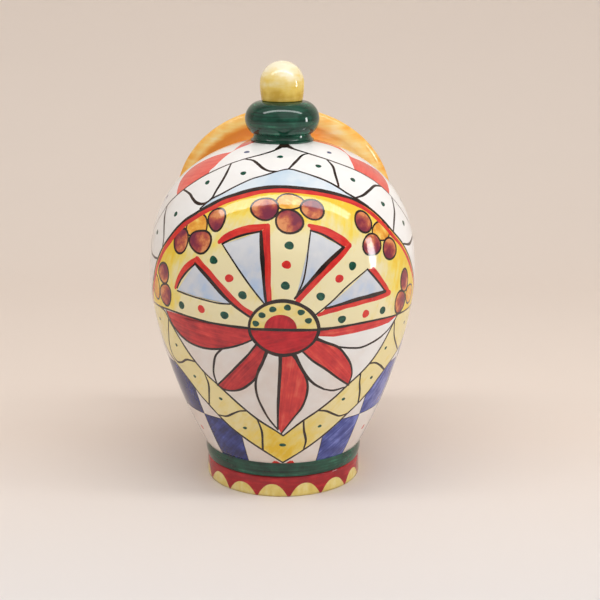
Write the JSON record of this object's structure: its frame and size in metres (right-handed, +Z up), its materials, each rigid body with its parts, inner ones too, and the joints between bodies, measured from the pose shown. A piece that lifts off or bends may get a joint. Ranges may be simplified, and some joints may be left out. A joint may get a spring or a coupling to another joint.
{
  "type": "salt jar",
  "caption": "Glazed earthenware salt jar: ovoid closed body on a low foot, fixed ball finial, and a wide flared side mouth with a rolled lip.",
  "frame": {"origin": "centre of the flat underside, on the surface that the jar stands on", "axes": "+Z up along the jar's axis, the painted panel faces -Y, the mouth faces +Y and upwards"},
  "size_m": [0.1388, 0.157, 0.2202],
  "materials": {
    "tin_glaze_body": "opaque white tin glaze, hand-painted in colours, glossy",
    "red_foot": "red glaze with yellow scallops, glossy",
    "bare_clay": "fired earthenware, white glaze inside, bare underneath",
    "green_glaze": "dark copper green glaze, glossy",
    "orange_glaze": "honey orange glaze, brushed, glossy",
    "yellow_glaze": "mottled yellow glaze, glossy"
  },
  "bodies": {
    "root": {"foot_ring": "red_foot", "floor_disc": "bare_clay", "waist_cordon": "green_glaze", "body_shell": "tin_glaze_body", "mouth_collar": "orange_glaze", "mouth_lip": "orange_glaze", "finial_base": "green_glaze", "finial_bulb": "green_glaze", "finial_ball": "yellow_glaze"}
  },
  "joints": []
}
